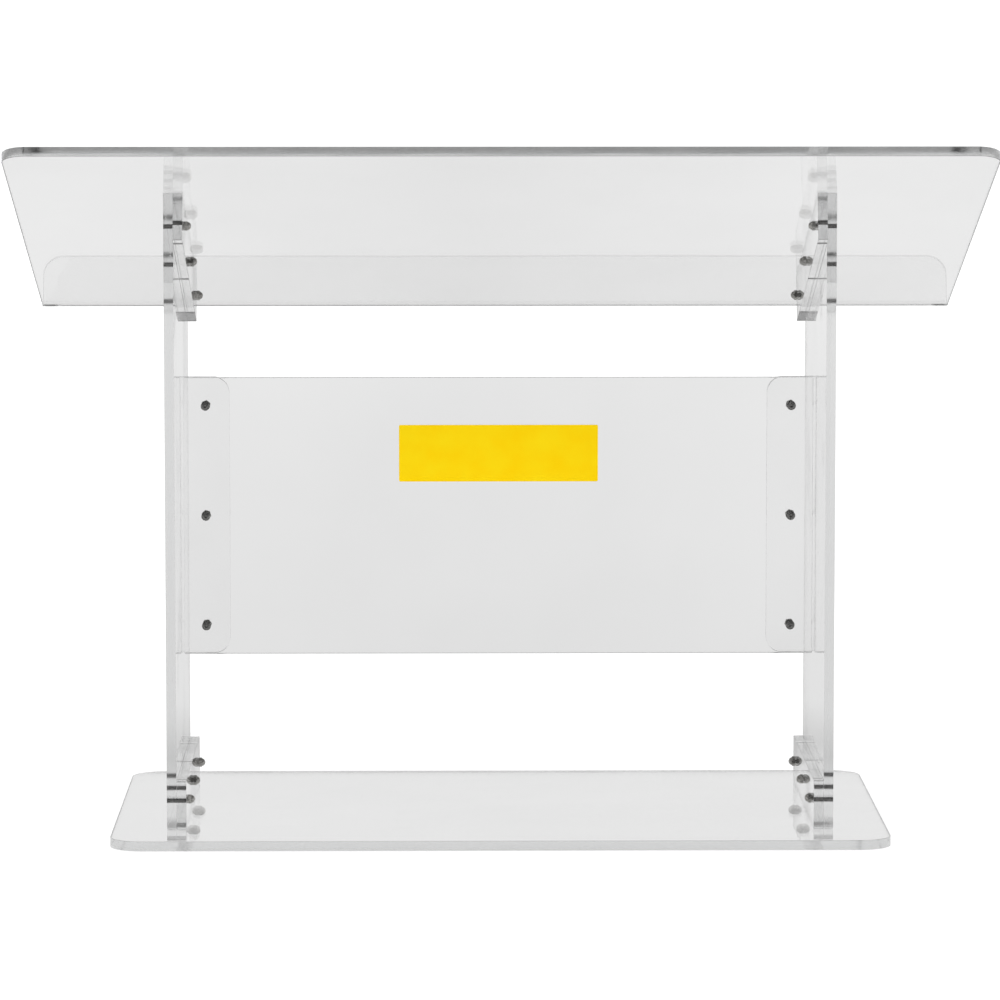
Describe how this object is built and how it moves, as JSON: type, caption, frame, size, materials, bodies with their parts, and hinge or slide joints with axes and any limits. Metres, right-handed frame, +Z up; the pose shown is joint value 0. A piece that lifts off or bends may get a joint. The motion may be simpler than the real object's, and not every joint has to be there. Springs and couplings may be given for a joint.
{
  "type": "presentation lectern",
  "caption": "Clear acrylic tabletop presentation lectern with a sloping desk, bent paper stop, side uprights, modesty panel and flat base.",
  "frame": {"origin": "centre of the base plate's underside, on the table it stands on", "axes": "+X across, to the right as the audience sees it, -Y towards the audience, +Y towards the speaker, +Z up"},
  "size_m": [0.6, 0.3573, 0.4311],
  "materials": {
    "clear_acrylic": "polished",
    "screw_steel": "satin",
    "nut_steel": "polished",
    "label_yellow": "satin"
  },
  "bodies": {
    "root": {"base_plate": "clear_acrylic", "desk_panel": "clear_acrylic", "front_label": "label_yellow", "front_panel": "clear_acrylic", "left_base_cleat": "clear_acrylic", "left_base_nut_1": "nut_steel", "left_base_nut_2": "nut_steel", "left_base_nut_3": "nut_steel", "left_base_screw_1": "screw_steel", "left_base_screw_2": "screw_steel", "left_base_screw_3": "screw_steel", "left_desk_cleat": "clear_acrylic", "left_desk_nut_1": "nut_steel", "left_desk_nut_2": "nut_steel", "left_desk_nut_3": "nut_steel", "left_desk_screw_1": "screw_steel", "left_desk_screw_2": "screw_steel", "left_desk_screw_3": "screw_steel", "left_panel_nut_1": "nut_steel", "left_panel_nut_2": "nut_steel", "left_panel_nut_3": "nut_steel", "left_panel_screw_1": "screw_steel", "left_panel_screw_2": "screw_steel", "left_panel_screw_3": "screw_steel", "left_panel_strip": "clear_acrylic", "left_upright": "clear_acrylic", "right_base_cleat": "clear_acrylic", "right_base_nut_1": "nut_steel", "right_base_nut_2": "nut_steel", "right_base_nut_3": "nut_steel", "right_base_screw_1": "screw_steel", "right_base_screw_2": "screw_steel", "right_base_screw_3": "screw_steel", "right_desk_cleat": "clear_acrylic", "right_desk_nut_1": "nut_steel", "right_desk_nut_2": "nut_steel", "right_desk_nut_3": "nut_steel", "right_desk_screw_1": "screw_steel", "right_desk_screw_2": "screw_steel", "right_desk_screw_3": "screw_steel", "right_panel_nut_1": "nut_steel", "right_panel_nut_2": "nut_steel", "right_panel_nut_3": "nut_steel", "right_panel_screw_1": "screw_steel", "right_panel_screw_2": "screw_steel", "right_panel_screw_3": "screw_steel", "right_panel_strip": "clear_acrylic", "right_upright": "clear_acrylic"}
  },
  "joints": []
}
